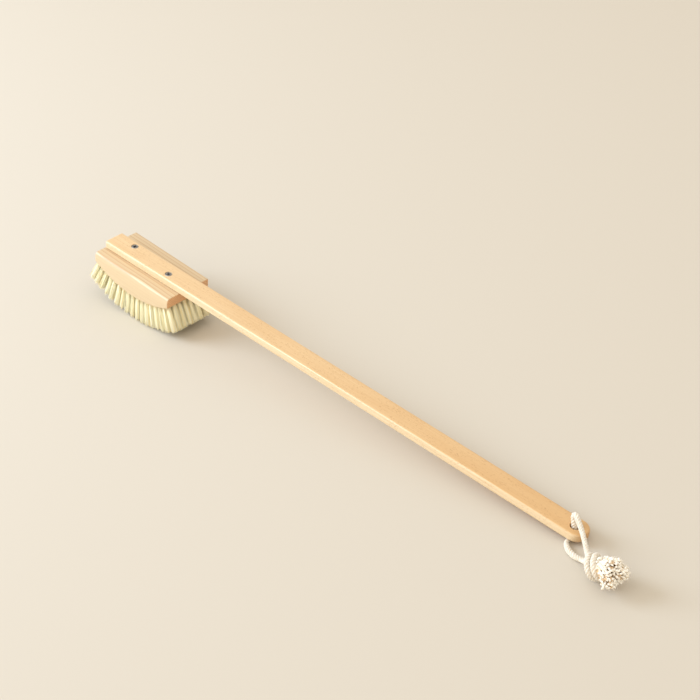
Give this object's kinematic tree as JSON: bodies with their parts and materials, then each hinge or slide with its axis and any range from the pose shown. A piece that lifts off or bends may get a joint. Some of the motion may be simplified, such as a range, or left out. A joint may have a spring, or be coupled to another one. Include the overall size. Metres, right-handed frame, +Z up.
{
  "type": "bath brush",
  "caption": "Long-handled bath brush: flat wooden handle screwed to the back of a curved head with rows of plant-fibre bristles, and a knotted cotton hanging loop.",
  "frame": {"origin": "on the table, under the middle of the brush's box measured without its cord", "axes": "+X runs from the head to the handle's tail, +Z is up from the table, and +Y is across the handle"},
  "size_m": [0.6506, 0.0775, 0.0632],
  "materials": {
    "handle_beech": "oiled beech, satin",
    "head_beech": "sanded beech, end grain at both ends",
    "plant_fibre": "pale stiff plant fibre, trimmed",
    "dark_steel": "dark steel, dull",
    "cotton_cord": "undyed twisted cotton"
  },
  "bodies": {
    "root": {"handle": "handle_beech", "head_block": "head_beech", "head_screw_front": "dark_steel", "head_screw_rear": "dark_steel", "tuft_row_01": "plant_fibre", "tuft_row_02": "plant_fibre", "tuft_row_03": "plant_fibre", "tuft_row_04": "plant_fibre", "tuft_row_05": "plant_fibre", "tuft_row_06": "plant_fibre", "tuft_row_07": "plant_fibre", "tuft_row_08": "plant_fibre", "tuft_row_09": "plant_fibre", "tuft_row_10": "plant_fibre", "tuft_row_11": "plant_fibre", "tuft_row_12": "plant_fibre", "tuft_row_13": "plant_fibre", "tuft_row_14": "plant_fibre", "tuft_row_15": "plant_fibre", "tuft_row_16": "plant_fibre", "tuft_row_17": "plant_fibre", "cord_upper": "cotton_cord", "cord_lower": "cotton_cord", "cord_knot": "cotton_cord", "cord_frayed_ends": "cotton_cord"}
  },
  "joints": []
}
